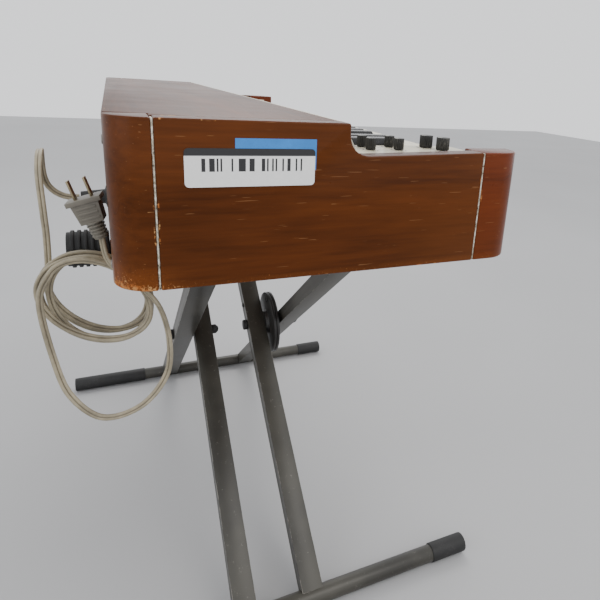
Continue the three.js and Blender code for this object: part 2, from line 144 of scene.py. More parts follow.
class Signal:
    """A number that changes over a surface: Python's operators on it add Math nodes."""

    def __init__(self, finish, socket):
        self.finish, self.socket = finish, socket

    def _math(self, operation, *values):
        return self.finish.node("Math", {"operation": operation}, list(values))

    def __add__(self, other):
        return self._math("ADD", self, other)

    def __sub__(self, other):
        return self._math("SUBTRACT", self, other)

    def __rsub__(self, other):
        return self._math("SUBTRACT", other, self)

    def __mul__(self, other):
        return self._math("MULTIPLY", self, other)

    def __truediv__(self, other):
        return self._math("DIVIDE", self, other)

    def __gt__(self, other):
        return self._math("GREATER_THAN", self, other)

    __radd__, __rmul__ = __add__, __mul__

    def most(self, other):
        return self._math("MAXIMUM", self, other)

    def between(self, low, high):
        """0 at low, 1 at high and a smooth rise from one to the other."""
        return self.finish.node("MapRange", {"interpolation_type": "SMOOTHSTEP"}, {0: self, 1: low, 2: high})


class Finish:
    """A material that is built from nodes."""

    def __init__(self, name):
        self.material = bpy.data.materials.new(name)
        self.material.use_nodes = True
        self.tree = self.material.node_tree
        self.shader = self.tree.nodes["Principled BSDF"]
        self.position = self.node("TexCoord", out="Object")

    def node(self, kind, options=None, inputs=(), out=0):
        """Adds a node: its settings come first, then the values or links of its sockets."""
        made = self.tree.nodes.new("ShaderNode" + kind)
        for key, value in (options or {}).items():
            if key == "stops":
                stops = made.color_ramp.elements
                while len(stops) < len(value):
                    stops.new(0.5)
                for stop, (at, colour) in zip(stops, value):
                    stop.position, stop.color = at, (*colour, 1)
            else:
                setattr(made, key, value)
        pairs = inputs.items() if isinstance(inputs, dict) else enumerate(inputs)
        for key, value in pairs:
            self.put(made.inputs[key], value)
        return Signal(self, made.outputs[out])

    def put(self, socket, value):
        if isinstance(value, Signal):
            self.tree.links.new(value.socket, socket)
        elif value is not None:
            if socket.type == "RGBA" and len(value) == 3:
                value = (*value, 1)
            socket.default_value = value

    def set(self, **sockets):
        for name, value in sockets.items():
            self.put(self.shader.inputs[name.replace("_", " ")], value)
        return self

    def stretched(self, x, y, z, turn=(0, 0, 0)):
        """Object coordinates, multiplied along each axis."""
        return self.node("Mapping", {}, {"Vector": self.position, "Scale": (x, y, z), "Rotation": turn})

    def noise(self, where, scale, detail=3, roughness=0.5, distortion=0.0):
        return self.node("TexNoise", {}, {"Vector": where, "Scale": scale, "Detail": detail, "Roughness": roughness,
                                          "Distortion": distortion})

    def axes(self):
        parts = self.node("SeparateXYZ", {}, {0: self.position})
        outputs = parts.socket.node.outputs
        return [Signal(self, outputs[i]) for i in range(3)]

    def ramp(self, factor, *stops):
        return self.node("ValToRGB", {"stops": stops}, {0: factor})

    def mix(self, factor, first, second, blend="MIX"):
        return self.node("Mix", {"data_type": "RGBA", "blend_type": blend}, {0: factor, 6: first, 7: second}, 2)

    def bump(self, height, distance, strength=1.0):
        return self.node("Bump", {}, {"Height": height, "Distance": distance, "Strength": strength})

    def attribute(self, name):
        return self.node("Attribute", {"attribute_name": name, "attribute_type": "GEOMETRY"}, (), "Fac")


FINISHES = {}


def finish_of(name):
    """The named material, made the first time that it is asked for."""
    if name not in FINISHES:
        FINISHES[name] = FINISH_MAKERS[name](name).material
    return FINISHES[name]


def wood(name, along, gloss=0.22, redness=0.0, sheen=0.10, coat=0.04):
    """Varnished walnut. along is the axis that its grain runs along: 0, 1 or 2."""
    look, finish = settings("organ_cabinet"), Finish(name)
    stretch = [1.0, 1.0, 1.0]
    stretch[along] = 0.07
    grain_space = finish.stretched(*stretch)
    bands = finish.noise(grain_space, 26, 4, 0.55, 0.6)
    fibres = finish.noise(grain_space, 210, 3, 0.6, 0.2)
    blotches = finish.noise(finish.position, 5.5, 2, 0.5)
    shade = bands * 0.62 + fibres * 0.34 + blotches * 0.22
    dark, warm = Vector(look.dark_wood), Vector(look.warm_wood)
    if redness:
        dark, warm = dark.lerp(Vector((0.10, 0.006, 0.006)), redness), warm.lerp(Vector((0.30, 0.02, 0.02)), redness)
    colour = finish.ramp(shade, (0.34, dark), (0.56, dark.lerp(warm, 0.55)), (0.78, warm))
    # The varnish is a little warmer and thinner low down at the player's end.
    x, y, z = finish.axes()
    low_front = (0.02 - y).between(0.0, 0.16) * (0.69 - z).between(0.0, 0.11)
    colour = finish.mix(low_front * blotches * 0.30, colour, (0.20, 0.060, 0.010))
    # Fine scratches run roughly along the grain, with some across it.
    scratch_stretch = [240.0, 240.0, 240.0]
    scratch_stretch[along] = 9.0
    scratches = finish.noise(finish.stretched(*scratch_stretch, turn=(0.06, 0.03, 0.05)), 4.2, 2, 0.5)
    fine = scratches.between(0.745, 0.775) * finish.noise(finish.position, 30, 1).between(0.48, 0.62)
    colour = finish.mix(fine * 0.55, colour, look.bare_wood)
    # Longer, fainter scratches lie at a slant.
    slant_stretch = [330.0, 330.0, 330.0]
    slant_stretch[along] = 14.0
    slanted = finish.noise(finish.stretched(*slant_stretch, turn=(0.16, -0.05, 0.12)), 2.6, 1, 0.4)
    colour = finish.mix(slanted.between(0.740, 0.765) * 0.30, colour, (0.40, 0.20, 0.085))
    # Chips are thick along the bottom edge, most of all at the rear corner.
    bottom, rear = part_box("end_board_bass")[0][2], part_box("rear_post_bass")[1][1]
    from_bottom, from_rear = z - bottom, rear - y
    flecks = finish.noise(finish.position, 520, 4, 0.75)
    near_bottom = 1 - from_bottom.between(0.0, 0.009)
    corner = (1 - from_bottom.between(0.001, 0.030)) * (1 - from_rear.between(0.008, 0.060))
    rubbed = near_bottom * 0.16 + corner * 0.20
    chips = (flecks + rubbed).between(0.76, 0.82)
    patchy = finish.noise(finish.position, 17, 2).between(0.42, 0.62)
    edge_chips = (finish.attribute("edge") * patchy
                  * (finish.noise(finish.position, 150, 4, 0.7) + 0.06)).between(0.56, 0.66)
    bare = chips.most(edge_chips)
    raw = finish.mix(finish.noise(finish.position, 90, 2).between(0.35, 0.6), look.bare_wood, (0.42, 0.13, 0.028))
    # The varnish over the rubbed corner is amber.
    colour = finish.mix((corner * 0.5 + near_bottom * 0.22) * flecks, colour, (0.40, 0.115, 0.020))
    colour = finish.mix(bare, colour, raw)
    smear = finish.noise(finish.position, 14, 3, 0.6)
    rough = (smear * 0.16 + gloss).most(bare * 0.6)
    height = fibres * 0.25 - fine * 0.4 - bare * 0.9
    return finish.set(Base_Color=colour, Roughness=rough, Coat_Weight=(1 - bare) * coat,
                      Coat_Roughness=0.12, Specular_IOR_Level=sheen,
                      Normal=finish.bump(height, 0.25 * MM, 0.5))


def inlay(name):
    """The thin metal strip between a board and its post: silvery, with dark gaps where it has corroded."""
    finish = Finish(name)
    flecks = finish.noise(finish.stretched(1, 1, 0.6), 420, 3, 0.7)
    colour = finish.ramp(flecks, (0.34, (0.03, 0.025, 0.02)), (0.46, (0.42, 0.37, 0.28)), (0.62, (0.80, 0.77, 0.68)))
    return finish.set(Base_Color=colour, Metallic=flecks.between(0.4, 0.5) * 0.6, Roughness=0.45,
                      Normal=finish.bump(flecks, 0.5 * MM, 0.6))


def painted_steel(name):
    """Bronze-grey satin paint with cloudy sheen, dust and rubbed corners."""
    look, finish = settings("organ_stand"), Finish(name)
    paint = Vector(look.paint)
    clouds = finish.noise(finish.position, 7, 3, 0.6)
    dust = finish.noise(finish.position, 160, 4, 0.7)
    colour = finish.mix(clouds.between(0.35, 0.7), paint * 0.62, paint * 1.35)
    colour = finish.mix(dust.between(0.60, 0.78) * 0.35, colour, (0.30, 0.28, 0.25))
    worn = (finish.attribute("edge") * (finish.noise(finish.position, 60, 4, 0.7) + 0.1)).between(0.55, 0.72)
    colour = finish.mix(worn * 0.6, colour, (0.42, 0.39, 0.34))
    peel = finish.noise(finish.position, 900, 2)
    return finish.set(Base_Color=colour, Roughness=clouds * 0.18 + 0.30 - worn * 0.08, Metallic=worn * 0.5 + 0.12,
                      Normal=finish.bump(peel + dust * 0.3, 0.08 * MM, 0.35))


def moulded(name, colour, rough, grain=700, dirt=(0.35, 0.33, 0.30), dirtiness=0.25, metal=0.0, depth=0.05):
    """Moulded plastic, rubber or plain metal with a fine skin and dirt that gathers in patches."""
    finish = Finish(name)
    skin = finish.noise(finish.position, grain, 3, 0.6)
    patches = finish.noise(finish.position, 38, 4, 0.65)
    base = Vector(colour)
    shaded = finish.mix(patches.between(0.3, 0.7), base * 0.86, (base * 1.12).to_tuple())
    marked = finish.mix((skin * 0.5 + patches * 0.5).between(0.52, 0.68) * dirtiness, shaded, dirt)
    return finish.set(Base_Color=marked, Roughness=patches * 0.14 + rough - 0.07, Metallic=metal,
                      Normal=finish.bump(skin, depth * MM, 0.5))


def knob_plastic(name):
    return moulded(name, (0.014, 0.014, 0.013), 0.48, 500, (0.16, 0.15, 0.13), 0.5)


def sheath(name):
    """The lead's vinyl: beige, greyer where it has been handled, with painted shade in the groove down its faces."""
    look, finish = settings("organ_lead"), Finish(name)
    tone = Vector(look.sheath)
    patches = finish.noise(finish.position, 45, 4, 0.65)
    fine = finish.noise(finish.position, 420, 3, 0.6)
    colour = finish.mix(patches.between(0.3, 0.7), tone * 0.72, tone * 1.25)
    # Painted shade: the groove between the two conductors is darkened to a deep brown, as if shade fell in the crease.
    groove = finish.attribute("groove")
    colour = finish.mix(groove * 0.72, colour, (0.055, 0.042, 0.028))
    colour = finish.mix(fine.between(0.58, 0.75) * 0.35, colour, (0.20, 0.17, 0.12))
    return finish.set(Base_Color=colour, Roughness=patches * 0.2 + 0.34, Normal=finish.bump(fine, 0.1 * MM, 0.4))


def paper(name):
    """A blank price label: a dark band, a row of bars and nothing to read."""
    finish = Finish(name)
    low, high = in_cabinet(0, LABEL["y"][0], LABEL["z"][0]), in_cabinet(0, LABEL["y"][1], LABEL["z"][1])
    x, y, z = finish.axes()
    across = (high.y - y) / (high.y - low.y)
    up = (z - low.z) / (high.z - low.z)
    band = up.between(0.80, 0.815)
    bars = finish.node("TexWhiteNoise", {"noise_dimensions": "1D"}, {"W": finish.node(
        "Math", {"operation": "FLOOR"}, [across * 74.0])}) > 0.46
    inside = (across > 0.12) * (1 - (across > 0.90)) * (up > 0.40) * (1 - (up > 0.74))
    ink = band.most(bars * inside)
    grain = finish.noise(finish.position, 300, 3)
    colour = finish.mix(ink, finish.mix(grain, (0.74, 0.74, 0.73), (0.84, 0.84, 0.83)), (0.018, 0.018, 0.02))
    return finish.set(Base_Color=colour, Roughness=ink * -0.1 + 0.5, Normal=finish.bump(grain, 0.05 * MM, 0.4))


LABEL = {"y": (215, 313), "z": (78, 106.5)}


FINISH_MAKERS = {
    "walnut_end": lambda name: wood(name, 1),
    "walnut_long": lambda name: wood(name, 0, 0.13),
    "walnut_lid": lambda name: wood(name, 0, 0.24, sheen=0.12, coat=0.0),
    "walnut_post": lambda name: wood(name, 1, 0.22),
    "walnut_post_front": lambda name: wood(name, 1, 0.20, 0.16),
    "metal_inlay": inlay,
    "painted_steel": painted_steel,
    "rubber_black": lambda name: moulded(name, (0.010, 0.010, 0.010), 0.60, 800, (0.12, 0.115, 0.11), 0.18),
    "black_steel": lambda name: moulded(name, (0.018, 0.017, 0.016), 0.42, 500, (0.13, 0.12, 0.10), 0.35, 0.2),
    "bare_steel": lambda name: moulded(name, (0.30, 0.29, 0.27), 0.40, 600, (0.10, 0.09, 0.08), 0.4, 0.6),
    "knob_plastic": knob_plastic,
    "pointer_white": lambda name: moulded(name, (0.75, 0.73, 0.66), 0.5),
    "panel_cream": lambda name: moulded(name, settings("organ_keyboard").panel, 0.40, 900, (0.25, 0.22, 0.16), 0.3),
    "ivory_plastic": lambda name: moulded(name, settings("organ_keyboard").ivory, 0.20, 260, (0.45, 0.38, 0.22), 0.3),
    "ebony_plastic": lambda name: moulded(name, (0.012, 0.012, 0.013), 0.20, 300, (0.10, 0.10, 0.10), 0.25),
    "zinc_plate": lambda name: moulded(name, (0.42, 0.41, 0.38), 0.35, 90, (0.30, 0.27, 0.20), 0.5, 0.85),
    "circuit_laminate": lambda name: moulded(name, (0.30, 0.17, 0.05), 0.45, 200, (0.10, 0.06, 0.03), 0.5),
    "transformer_iron": lambda name: moulded(name, (0.06, 0.055, 0.05), 0.45, 260, (0.25, 0.12, 0.05), 0.5, 0.4),
    "lead_sheath": sheath,
    "plug_grey": lambda name: moulded(name, (0.17, 0.155, 0.125), 0.42, 500, (0.12, 0.10, 0.07), 0.45),
    "plug_brass": lambda name: moulded(name, (0.36, 0.30, 0.19), 0.32, 200, (0.15, 0.12, 0.08), 0.4, 0.9),
    "label_paper": paper,
    "tape_blue": lambda name: moulded(name, (0.03, 0.22, 0.62), 0.55, 300, (0.02, 0.12, 0.35), 0.4),
}


# ---- Modelling helpers


def clear_selection():
    if bpy.context.object and bpy.context.object.mode != "OBJECT":
        bpy.ops.object.mode_set(mode="OBJECT")
    bpy.ops.object.select_all(action="DESELECT")


def pick(*objects):
    """Selects only these objects, and makes the last of them the active one."""
    clear_selection()
    for one in objects:
        one.select_set(True)
    bpy.context.view_layer.objects.active = objects[-1]


def settle(piece):
    """Moves a piece's place into its mesh."""
    pick(piece)
    bpy.ops.object.transform_apply(location=True, rotation=True, scale=True)


def modify(piece, kind, **values):
    """Adds a modifier with these values and applies it."""
    modifier = piece.modifiers.new(kind.title(), kind)
    for key, value in values.items():
        setattr(modifier, key, value)
    pick(piece)
    bpy.ops.object.modifier_apply(modifier=modifier.name)


def tidy_mesh(piece, dissolve=False):
    """Merges doubles, makes flat areas whole where asked, and turns all faces outwards."""
    pick(piece)
    bpy.ops.object.mode_set(mode="EDIT")
    bpy.ops.mesh.select_all(action="SELECT")
    bpy.ops.mesh.remove_doubles(threshold=0.00001)
    if dissolve:
        bpy.ops.mesh.dissolve_limited(angle_limit=math.radians(0.6))
    bpy.ops.mesh.normals_make_consistent(inside=False)
    bpy.ops.object.mode_set(mode="OBJECT")


def round_edges(piece, width, segments=2, angle=32):
    """Rounds the sharp edges, and marks the new faces with the attribute "edge" for the materials' wear."""
    piece.data.materials.clear()
    for _ in range(2):
        piece.data.materials.append(None)
    modify(piece, "BEVEL", width=width, segments=segments, limit_method="ANGLE", angle_limit=math.radians(angle),
           material=1, harden_normals=False, use_clamp_overlap=True)
    faces = piece.data.polygons
    marks = piece.data.attributes.new("edge", "FLOAT", "FACE")
    marks.data.foreach_set("value", [float(face.material_index) for face in faces])
    for face in faces:
        face.material_index = 0
    piece.data.materials.clear()


def dress(piece, finish, body, smooth=34):
    """Gives a piece its material, its body and its smooth shading."""
    pick(piece)
    bpy.ops.object.shade_smooth_by_angle(angle=math.radians(smooth))
    piece.data.materials.clear()
    piece.data.materials.append(finish_of(finish))
    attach(piece, body)
    return piece


def softened(node, finish, edge, body, segments=2, name=None):
    """A piece with the shape of a frame node, its sharp edges rounded. It stands for that node."""
    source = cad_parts[node]
    piece = bpy.data.objects.new(name or node + "_finished", source.data.copy())
    bpy.context.scene.collection.objects.link(piece)
    tidy_mesh(piece, dissolve=True)
    round_edges(piece, edge, segments)
    dress(piece, finish, body)
    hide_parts(node)
    return piece


def block(name, low, high):
    """A box between two corners, as a new mesh."""
    clear_selection()
    low, high = Vector(low), Vector(high)
    bpy.ops.mesh.primitive_cube_add(size=1, location=(low + high) / 2)
    piece = bpy.context.object
    piece.name = piece.data.name = name
    piece.scale = high - low
    settle(piece)
    return piece


def rod(name, start, end, radius, sides=24):
    """A round bar between two points."""
    clear_selection()
    start, end = Vector(start), Vector(end)
    along = end - start
    turn = along.to_track_quat("Z", "Y").to_euler()
    bpy.ops.mesh.primitive_cylinder_add(vertices=sides, radius=radius, depth=along.length,
                                        location=(start + end) / 2, rotation=turn)
    piece = bpy.context.object
    piece.name = piece.data.name = name
    settle(piece)
    return piece


def joined(name, *pieces):
    pick(*pieces)
    bpy.ops.object.join()
    piece = bpy.context.object
    piece.name = piece.data.name = name
    return piece


# ---- Stage


class ORGAN_OT_stage(bpy.types.Operator):
    """Make the floor, the soft lights and the camera"""

    bl_idname = "organ.stage"
    bl_label = "Stage"

    def execute(self, context):
        clear_selection()
        bpy.ops.mesh.primitive_plane_add(size=14, location=(0, 0, -0.0005))
        floor = context.object
        floor.name = "floor"
        finish = Finish("floor_pale")
        haze = finish.noise(finish.position, 1.3, 2)
        finish.set(Base_Color=finish.mix(haze, (0.40, 0.40, 0.405), (0.47, 0.47, 0.475)), Roughness=0.6)
        floor.data.materials.append(finish.material)
        world = bpy.data.worlds.new("studio")
        context.scene.world = world
        world.use_nodes = True
        world.node_tree.nodes["Background"].inputs["Color"].default_value = (0.97, 0.98, 1.0, 1)
        world.node_tree.nodes["Background"].inputs["Strength"].default_value = 1.3
        self.light("key_light", (-1.9, -0.9, 2.3), 1.4, 20, (1.0, 0.97, 0.93))
        self.light("fill_light", (-1.2, 2.0, 1.5), 1.6, 9, (0.94, 0.97, 1.0))
        self.light("lid_light", (1.6, -0.4, 2.2), 1.0, 18, (1.0, 0.99, 0.97))
        self.camera(context)
        return {"FINISHED"}

    def light(self, name, place, size, power, colour):
        bpy.ops.object.light_add(type="AREA", location=place)
        lamp = bpy.context.object
        lamp.name = name
        lamp.data.size, lamp.data.energy, lamp.data.color = size, power, colour
        aim = Vector((0, 0, 0.5)) - Vector(place)
        lamp.rotation_euler = aim.to_track_quat("-Z", "Y").to_euler()

    def camera(self, context):
        bpy.ops.object.camera_add(location=in_cabinet(-399.2, 356.3, 161.6))
        camera = context.object
        camera.name = "camera"
        across, up = Vector((-0.4320, -0.8993, 0.0680)), Vector((0.2873, -0.0658, 0.9556))
        away = across.cross(up)
        camera.rotation_euler = Matrix((across, up, away)).transposed().to_euler()
        camera.data.lens, camera.data.sensor_width = 31.98, 36
        camera.data.shift_x, camera.data.shift_y = -0.13, -0.1
        camera.data.clip_start = 0.02
        context.scene.camera = camera


# ---- Mains lead


LEAD_THICKNESS = 3.1
# Where the lead runs, in millimetres from the cabinet's corner: out of its strain relief and over the near arm.
LEAD_RUN = ((196, 391.2, 30), (196, 397, 30), (195.8, 404, 31.5), (195.3, 411, 35.5), (194.3, 416.5, 42),
            (192.5, 419, 50), (189, 419.5, 59), (183.5, 419, 68), (175.5, 418, 75.5), (166, 417, 80.5),
            (156, 416.5, 82), (146, 416.5, 80), (137, 416.5, 74.5), (129.8, 416.5, 66), (125, 416, 55),
            (122.8, 415.5, 42), (122.2, 415.2, 27), (122, 415, 12))
# The last, slack loop and the lead's way up into the plug.
LEAD_SLACK = ((83.5, 421, -34), (80, 415, -86), (77, 405, -122), (76, 382, -148), (76, 350, -143), (76, 327, -115),
              (76.5, 323, -80), (77.5, 330, -46), (79, 346, -23), (80.5, 357, -13), (82, 365.5, -4.5), (83, 369.5, 5),
              (83, 371.2, 19.9))
LOOPS = {"turns": 5, "steps": 14, "y": 378, "z": -41, "long": 50, "short": 36, "lean": math.radians(46),
         "start": -0.08 * math.pi, "first_x": 122, "pitch": 6.4}
PLUG_LEAN, PLUG_TURN = -0.3, 1.4


def lead_route():
    """The lead's middle line: the run, the loops and the slack loop."""
    route = list(LEAD_RUN)
    chance = random.Random(7)
    total = LOOPS["turns"] * LOOPS["steps"]
    tilts = [0.0] + [chance.uniform(-0.30, 0.26) for _ in range(LOOPS["turns"])] + [0.0]
    swells = [1 + chance.uniform(-0.13, 0.10) for _ in range(LOOPS["turns"] + 2)]
    drops = [chance.uniform(-9, 4) for _ in range(LOOPS["turns"] + 2)]
    for i in range(total + 1):
        turn = i / LOOPS["steps"]
        k, part = int(turn), turn % 1
        ease = part * part * (3 - 2 * part)
        swell = swells[k] + (swells[k + 1] - swells[k]) * ease
        drop = drops[k] + (drops[k + 1] - drops[k]) * ease
        lean = LOOPS["lean"] + tilts[k] + (tilts[min(k + 1, len(tilts) - 1)] - tilts[k]) * ease
        angle = LOOPS["start"] - turn * 2 * math.pi
        u, v = LOOPS["long"] * swell * math.cos(angle), LOOPS["short"] * swell * math.sin(angle)
        y = LOOPS["y"] + u * math.cos(lean) - v * math.sin(lean)
        z = LOOPS["z"] + u * math.sin(lean) + v * math.cos(lean)
        route.append((LOOPS["first_x"] - turn * LOOPS["pitch"], y, z + drop * 0.5 * (1 - math.sin(angle))))
    return [in_cabinet(*point) for point in [*route, *LEAD_SLACK]]


def spline(points, step):
    """A smooth curve through the points, sampled about every step."""
    ends = [2 * points[0] - points[1], *points, 2 * points[-1] - points[-2]]
    out = []
    for a, b, c, d in zip(ends, ends[1:], ends[2:], ends[3:]):
        count = max(1, round((c - b).length / step))
        for i in range(count):
            t = i / count
            out.append(0.5 * (2 * b + (c - a) * t + (2 * a - 5 * b + 4 * c - d) * t * t
                              + (3 * b - a - 3 * c + d) * t * t * t))
    return out + [points[-1]]


def twin_section(width, thickness):
    """Half of the lead's section and whether each point is in its groove, as (across, out, groove)."""
    lobe, points = thickness / 2, []
    for side in (1, -1):
        for i in range(7):
            angle = math.radians((-120 if side == 1 else 60) + i * 40)
            points.append((side * (width / 2 - lobe) + lobe * math.cos(angle), lobe * math.sin(angle), 0.0))
        points.append((0.0, side * lobe * 0.42, 1.0))
    return points


def flat_lead(name, path, width, thickness):
    """A flat twin lead along a path, as one closed mesh with a groove down both faces."""
    section = twin_section(width, thickness)
    tangents = [(b - a).normalized() for a, b in zip([path[0], *path], [*path[1:], path[-1]])]
    across = tangents[0].cross(Vector((0, 0, 1))).normalized()
    vertices, faces, groove = [], [], []
    for i, (point, tangent) in enumerate(zip(path, tangents)):
        across = (across - tangent * across.dot(tangent)).normalized()
        out = tangent.cross(across)
        twist = 1.5 + 0.35 * math.sin(i * 0.045) + 0.2 * math.sin(i * 0.11 + 1)
        first = across * math.cos(twist) + out * math.sin(twist)
        second = tangent.cross(first)
        for u, v, dark in section:
            vertices.append(point + first * u + second * v)
            groove.append(dark)
    ring = len(section)
    for i in range(len(path) - 1):
        for k in range(ring):
            a, b = i * ring + k, i * ring + (k + 1) % ring
            faces.append((a, b, b + ring, a + ring))
    faces.append(tuple(range(ring))[::-1])
    faces.append(tuple(range(len(vertices) - ring, len(vertices))))
    mesh = bpy.data.meshes.new(name)
    mesh.from_pydata(vertices, [], faces)
    # The groove marks tell the sheath's material where to paint shade.
    mesh.attributes.new("groove", "FLOAT", "POINT").data.foreach_set("value", groove)
    piece = bpy.data.objects.new(name, mesh)
    bpy.context.scene.collection.objects.link(piece)
    return piece


class ORGAN_OT_lead(bpy.types.Operator):
    """Make the mains lead, its strain relief and its plug"""

    bl_idname = "organ.lead"
    bl_label = "Mains lead"

    def execute(self, context):
        width = settings("organ_lead").width
        path = spline(lead_route(), 3.5 * MM)
        lead = flat_lead("mains_lead", path, width, LEAD_THICKNESS * MM)
        tidy_mesh(lead)
        dress(lead, "lead_sheath", "organ", smooth=80)
        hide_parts("lead_run", "lead_coil")
        plug = self.plug()
        relief = softened("strain_relief", "rubber_black", 0.5 * MM, "organ")
        length = sum((b - a).length for a, b in zip(path, path[1:]))
        return {"FINISHED"}

    def plug(self):
        """The plug: a ribbed tail, a moulded body with grip slots, a finger flange and two blades."""
        parts = []
        parts.append(rod("plug_tail", (0, 0, 0), (0, 0, 0.017), 0.0055, 20))
        for i in range(5):
            rib = rod("plug_rib", (0, 0, 0.002 + i * 0.003), (0, 0, 0.0036 + i * 0.003), 0.0062 + i * 0.0003, 20)
            parts.append(rib)
        body = block("plug_body", (-0.009, -0.0065, 0.015), (0.009, 0.0065, 0.033))
        pick(body)
        bpy.ops.object.mode_set(mode="EDIT")
        bpy.ops.mesh.select_mode(type="FACE")
        bpy.ops.mesh.select_all(action="DESELECT")
        bpy.ops.object.mode_set(mode="OBJECT")
        body.data.polygons[max(range(6), key=lambda f: body.data.polygons[f].center.z)].select = True
        bpy.ops.object.mode_set(mode="EDIT")
        bpy.ops.transform.resize(value=(1.22, 1.0, 1.0), center_override=(0, 0, 0.033))
        bpy.ops.object.mode_set(mode="OBJECT")
        parts.append(body)
        for i in range(3):
            z = 0.0185 + i * 0.0045
            parts.append(block("plug_grip", (-0.0078, -0.0072, z), (0.0078, 0.0072, z + 0.002)))
        parts.append(block("plug_flange", (-0.0135, -0.008, 0.032), (0.0135, 0.008, 0.036)))
        plug = joined("mains_plug_body", *parts)
        blades = joined("mains_plug_blades", *(
            block("blade", (u - 0.0008, -0.0032, 0.0355), (u + 0.0008, 0.0032, 0.052)) for u in (-0.00635, 0.00635)))
        turn = Matrix.Rotation(PLUG_LEAN, 4, "X") @ Matrix.Rotation(PLUG_TURN, 4, "Z")
        place = Matrix.Translation(in_cabinet(*LEAD_SLACK[-1]) + Vector((0, 0, 0.3 * MM)))
        for piece, look, slot in ((plug, "plug_grey", "plug"), (blades, "plug_brass", "plug")):
            round_edges(piece, 0.4 * MM)
            piece.data.transform(place @ turn)
            tidy_mesh(piece)
            dress(piece, look, "organ")
        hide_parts("mains_plug")
        blades.parent = plug
        return plug


# ---- Cabinet


class ORGAN_OT_cabinet(bpy.types.Operator):
    """Make the wooden boards and corner posts, their metal inlays and the label"""

    bl_idname = "organ.cabinet"
    bl_label = "Cabinet"

    def execute(self, context):
        edge = settings("organ_cabinet").edge
        for side in ("bass", "treble"):
            softened(f"end_board_{side}", "walnut_end", edge, "organ", 3)
            softened(f"rear_post_{side}", "walnut_post", edge, "organ", 3)
            softened(f"front_post_{side}", "walnut_post_front", edge, "organ", 3)
            self.inlays(side)
        for node in ("bottom_board", "key_slip", "rear_board"):
            softened(node, "walnut_long", edge, "organ", 3)
        softened("top_board", "walnut_lid", edge, "organ", 3)
        self.label()
        self.screws()
        return {"FINISHED"}

    def inlays(self, side):
        """A metal strip fills each groove between the end board and its posts."""
        board_low, board_high = (Vector(corner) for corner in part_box(f"end_board_{side}"))
        inner = 14 * MM
        x0, x1 = (board_low.x + 0.5 * MM, board_low.x + inner) if side == "bass" else (
            board_high.x - inner, board_high.x - 0.5 * MM)
        for post, name in ((f"front_post_{side}", "front"), (f"rear_post_{side}", "rear")):
            low, high = (Vector(corner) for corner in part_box(post))
            y0, y1 = (high.y, board_low.y) if name == "front" else (board_high.y, low.y)
            strip = block(f"inlay_{name}_{side}", (x0, y0 + 0.1 * MM, low.z + 0.6 * MM),
                          (x1, y1 - 0.1 * MM, high.z - 0.5 * MM))
            round_edges(strip, 0.3 * MM, 1)
            dress(strip, "metal_inlay", "organ")

    def label(self):
        """A blank price label on a strip of blue tape."""
        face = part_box("end_board_bass")[0][0]
        (y0, y1), (z0, z1) = LABEL["y"], LABEL["z"]
        for name, look, (a, b, c, d), proud, corner in (
                ("tape_blue_strip", "tape_blue", (y0 - 1, y1 - 36, z0 + 12, z1 + 7.5), 0.25, 0.4),
                ("price_label", "label_paper", (y0, y1, z0, z1), 0.5, 3.2)):
            low, high = in_cabinet(0, a, c), in_cabinet(0, b, d)
            sheet = block(name, (face - proud * MM, low.y, low.z), (face - 0.02 * MM, high.y, high.z))
            pick(sheet)
            bpy.ops.object.mode_set(mode="EDIT")
            bpy.ops.mesh.select_mode(type="EDGE")
            bpy.ops.mesh.select_all(action="DESELECT")
            bpy.ops.object.mode_set(mode="OBJECT")
            for edge in sheet.data.edges:
                ends = [sheet.data.vertices[v].co for v in edge.vertices]
                edge.select = abs(ends[0].x - ends[1].x) > proud * 0.5 * MM
            bpy.ops.object.mode_set(mode="EDIT")
            bpy.ops.mesh.bevel(offset=corner * MM, segments=5, affect="EDGES")
            bpy.ops.object.mode_set(mode="OBJECT")
            dress(sheet, look, "organ")

    def screws(self):
        """Cross-head screws hold the back and the base to the posts and boards."""
        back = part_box("rear_board")[1][1]
        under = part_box("bottom_board")[0][2]
        places = [((x, 0, z), "back") for x in (48, 270, 490, 710, 932) for z in (8, 106)]
        places += [((x, y, 0), "under") for x in (40, 340, 640, 940) for y in (70, 318)]
        for number, ((x, y, z), where) in enumerate(places):
            centre = in_cabinet(x, y, z)
            if where == "back":
                centre.y = back
                direction = Vector((0, 1, 0))
            else:
                centre.z = under
                direction = Vector((0, 0, -1))
            head = rod(f"screw_{number + 1}", centre, centre + direction * 1.1 * MM, 3.6 * MM, 18)
            round_edges(head, 0.5 * MM)
            dress(head, "bare_steel", "organ")


# ---- Controls


